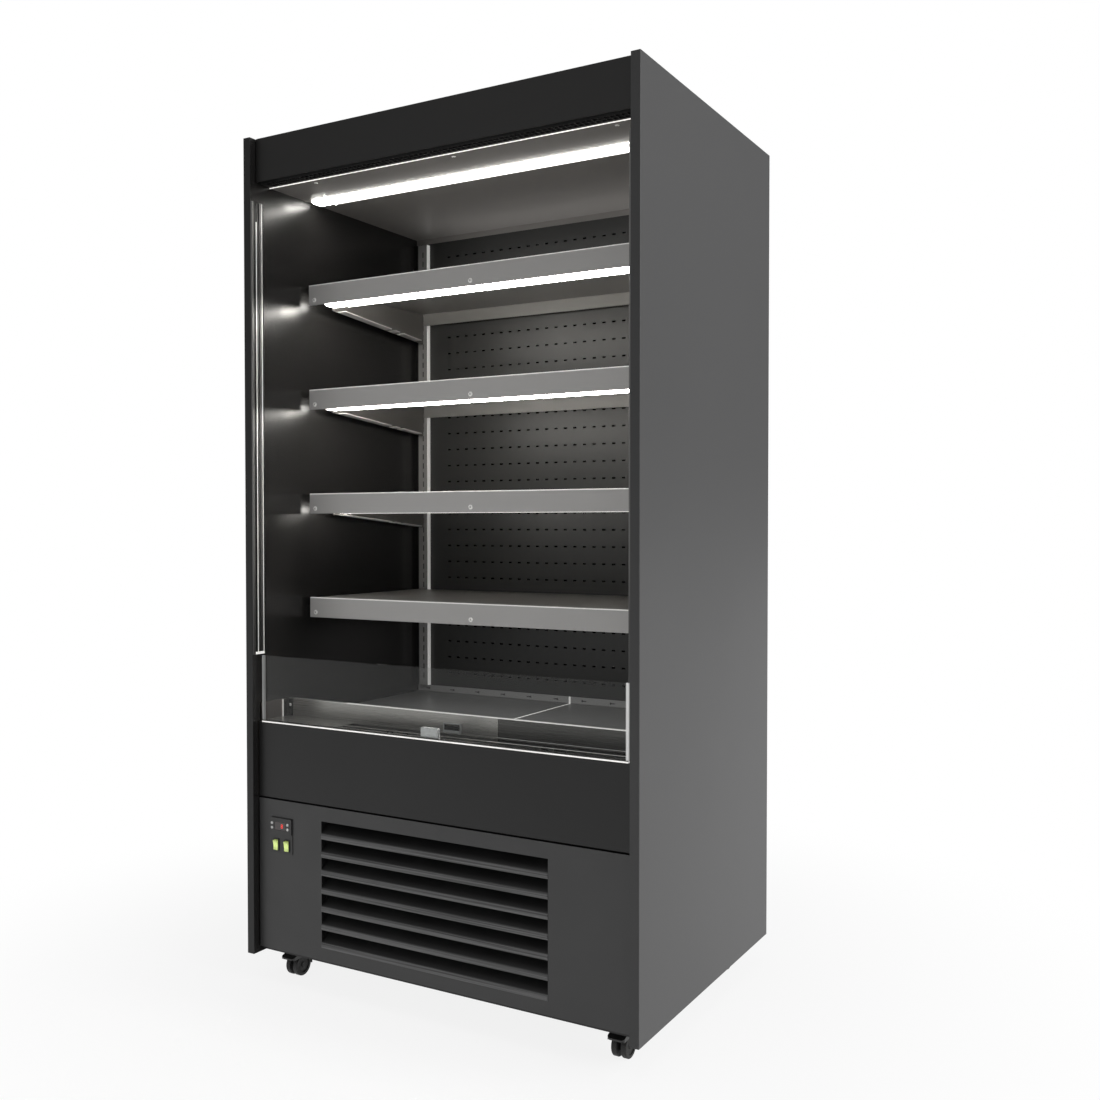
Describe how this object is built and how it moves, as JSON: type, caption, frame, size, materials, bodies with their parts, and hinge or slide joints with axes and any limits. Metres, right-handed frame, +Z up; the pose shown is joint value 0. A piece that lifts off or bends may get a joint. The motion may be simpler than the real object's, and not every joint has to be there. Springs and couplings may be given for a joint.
{
  "type": "open multideck display fridge",
  "caption": "Open-front refrigerated display cabinet on castors, with lit shelves, a glass guard, a louvred machine compartment and a pull-down night blind.",
  "frame": {"origin": "on the floor under the middle of the cabinet", "axes": "+Z up, -Y out of the open front, +X to the right of someone facing the front"},
  "size_m": [1, 0.717, 1.935],
  "materials": {
    "charcoal_paint": "fine-grained satin powder coat",
    "front_paint": "satin powder coat",
    "foam": "foamed in place",
    "liner_paint": "gloss paint",
    "zinc_sheet": "galvanised sheet",
    "shelf_paint": "grey powder coat",
    "bracket_paint": "satin paint",
    "deck_paint": "satin paint",
    "brushed_steel": "brushed",
    "honeycomb": "moulded",
    "lamp": "opal lens",
    "clear_glass": "polished edges",
    "aluminium": "satin anodised",
    "clear_plastic": "moulded",
    "black_plastic": "moulded",
    "key_cap": "moulded",
    "lit_rocker": "translucent, lit",
    "compressor_paint": "gloss black",
    "fin_stock": "mill finish",
    "motor": "painted",
    "copper": "drawn tube",
    "blind_cloth": "coated cloth",
    "zinc_screw": "plated",
    "castor_plastic": "moulded",
    "castor_tread": "moulded tread"
  },
  "bodies": {
    "cabinet": {"air_honeycomb": "honeycomb", "base_pan": "zinc_sheet", "blind_guides": "aluminium", "canopy_fascia": "front_paint", "castor_plates": "zinc_screw", "ceiling_panel": "liner_paint", "centre_clips": "clear_plastic", "compressor": "compressor_paint", "condenser_coil": "fin_stock", "condenser_shroud": "zinc_sheet", "control_plate": "black_plastic", "controller": "black_plastic", "deck_panels": "deck_paint", "drip_tray": "zinc_sheet", "duct_panel": "liner_paint", "evaporator_coil": "fin_stock", "evaporator_fan_plate": "zinc_sheet", "fan_motors": "motor", "front_glass": "clear_glass", "front_panel": "front_paint", "glass_rail": "aluminium", "grille_panel": "front_paint", "inner_liners": "liner_paint", "insulation_foam": "foam", "led_lights": "lamp", "panel_screws": "zinc_screw", "rear_panel": "zinc_sheet", "refrigerant_pipes": "copper", "return_grille": "brushed_steel", "roller_brackets": "black_plastic", "shelf_brackets": "bracket_paint", "shelf_fronts": "shelf_paint", "shelf_uprights": "bracket_paint", "shelves": "shelf_paint", "side_panel_left": "charcoal_paint", "side_panel_right": "charcoal_paint", "top_panel": "zinc_sheet", "tub_liner": "zinc_sheet"},
    "castor_front_left": {"castor_fork_front_left": "castor_plastic"},
    "wheels_front_left": {"castor_wheels_front_left": "castor_tread"},
    "brake_front_left": {"castor_brake_front_left": "castor_plastic"},
    "castor_front_right": {"castor_fork_front_right": "castor_plastic"},
    "wheels_front_right": {"castor_wheels_front_right": "castor_tread"},
    "brake_front_right": {"castor_brake_front_right": "castor_plastic"},
    "castor_rear_left": {"castor_fork_rear_left": "castor_plastic"},
    "wheels_rear_left": {"castor_wheels_rear_left": "castor_tread"},
    "castor_rear_right": {"castor_fork_rear_right": "castor_plastic"},
    "wheels_rear_right": {"castor_wheels_rear_right": "castor_tread"},
    "rocker_left": {"rocker_left": "lit_rocker"},
    "rocker_right": {"rocker_right": "lit_rocker"},
    "key_1": {"key_1": "key_cap"},
    "key_2": {"key_2": "key_cap"},
    "key_3": {"key_3": "key_cap"},
    "key_4": {"key_4": "key_cap"},
    "condenser_fan": {"condenser_fan": "black_plastic"},
    "evaporator_fan_left": {"evaporator_fan_left": "black_plastic"},
    "evaporator_fan_right": {"evaporator_fan_right": "black_plastic"},
    "blind_bar": {"blind_bar": "aluminium", "blind_fabric": "blind_cloth"},
    "blind_roller": {"blind_roller": "aluminium"}
  },
  "joints": [
    {"name": "castor_swivel_front_left", "type": "hinge", "parent": "cabinet", "child": "castor_front_left", "pos_m": [-0.425, -0.25, 0.06], "axis": [0, 0, 1], "continuous": true},
    {"name": "castor_roll_front_left", "type": "hinge", "parent": "castor_front_left", "child": "wheels_front_left", "pos_m": [-0.425, -0.27, 0.025], "axis": [1, 0, 0], "continuous": true},
    {"name": "brake_pedal_front_left", "type": "hinge", "parent": "castor_front_left", "child": "brake_front_left", "pos_m": [-0.425, -0.272, 0.0546], "axis": [1, 0, 0], "range_deg": [0, 15]},
    {"name": "castor_swivel_front_right", "type": "hinge", "parent": "cabinet", "child": "castor_front_right", "pos_m": [0.425, -0.25, 0.06], "axis": [0, 0, 1], "continuous": true},
    {"name": "castor_roll_front_right", "type": "hinge", "parent": "castor_front_right", "child": "wheels_front_right", "pos_m": [0.425, -0.27, 0.025], "axis": [1, 0, 0], "continuous": true},
    {"name": "brake_pedal_front_right", "type": "hinge", "parent": "castor_front_right", "child": "brake_front_right", "pos_m": [0.425, -0.272, 0.0546], "axis": [1, 0, 0], "range_deg": [0, 15]},
    {"name": "castor_swivel_rear_left", "type": "hinge", "parent": "cabinet", "child": "castor_rear_left", "pos_m": [-0.425, 0.28, 0.06], "axis": [0, 0, 1], "continuous": true},
    {"name": "castor_roll_rear_left", "type": "hinge", "parent": "castor_rear_left", "child": "wheels_rear_left", "pos_m": [-0.425, 0.26, 0.025], "axis": [1, 0, 0], "continuous": true},
    {"name": "castor_swivel_rear_right", "type": "hinge", "parent": "cabinet", "child": "castor_rear_right", "pos_m": [0.425, 0.28, 0.06], "axis": [0, 0, 1], "continuous": true},
    {"name": "castor_roll_rear_right", "type": "hinge", "parent": "castor_rear_right", "child": "wheels_rear_right", "pos_m": [0.425, 0.26, 0.025], "axis": [1, 0, 0], "continuous": true},
    {"name": "rocker_tilt_left", "type": "hinge", "parent": "cabinet", "child": "rocker_left", "pos_m": [-0.42475, -0.339, 0.3235], "axis": [1, 0, 0], "range_deg": [-14, 0]},
    {"name": "rocker_tilt_right", "type": "hinge", "parent": "cabinet", "child": "rocker_right", "pos_m": [-0.39275, -0.339, 0.3235], "axis": [1, 0, 0], "range_deg": [-14, 0]},
    {"name": "key_press_1", "type": "slide", "parent": "cabinet", "child": "key_1", "axis": [0, 1, 0], "range_m": [0, 0.0005], "stiffness_N_per_m": 800},
    {"name": "key_press_2", "type": "slide", "parent": "cabinet", "child": "key_2", "axis": [0, 1, 0], "range_m": [0, 0.0005], "stiffness_N_per_m": 800},
    {"name": "key_press_3", "type": "slide", "parent": "cabinet", "child": "key_3", "axis": [0, 1, 0], "range_m": [0, 0.0005], "stiffness_N_per_m": 800},
    {"name": "key_press_4", "type": "slide", "parent": "cabinet", "child": "key_4", "axis": [0, 1, 0], "range_m": [0, 0.0005], "stiffness_N_per_m": 800},
    {"name": "condenser_fan_spin", "type": "hinge", "parent": "cabinet", "child": "condenser_fan", "pos_m": [-0.075, -0.195, 0.217], "axis": [0, 1, 0], "continuous": true},
    {"name": "evaporator_fan_spin_left", "type": "hinge", "parent": "cabinet", "child": "evaporator_fan_left", "pos_m": [-0.21, -0.17, 0.5324], "axis": [0, 1, 0], "continuous": true},
    {"name": "evaporator_fan_spin_right", "type": "hinge", "parent": "cabinet", "child": "evaporator_fan_right", "pos_m": [0.21, -0.17, 0.5324], "axis": [0, 1, 0], "continuous": true},
    {"name": "blind_pull", "type": "slide", "parent": "cabinet", "child": "blind_bar", "axis": [0, 0, -1], "range_m": [0, 1.08], "stiffness_N_per_m": 5, "springref_m": -1, "deforming": ["blind_fabric"]},
    {"name": "blind_roller_turn", "type": "hinge", "parent": "cabinet", "child": "blind_roller", "pos_m": [0, -0.31105, 1.902], "axis": [1, 0, 0], "range_deg": [0, 2660]}
  ],
  "couplings": [
    {"joint": "blind_roller_turn", "follows": "blind_pull", "rad_per_m": 42.735}
  ]
}
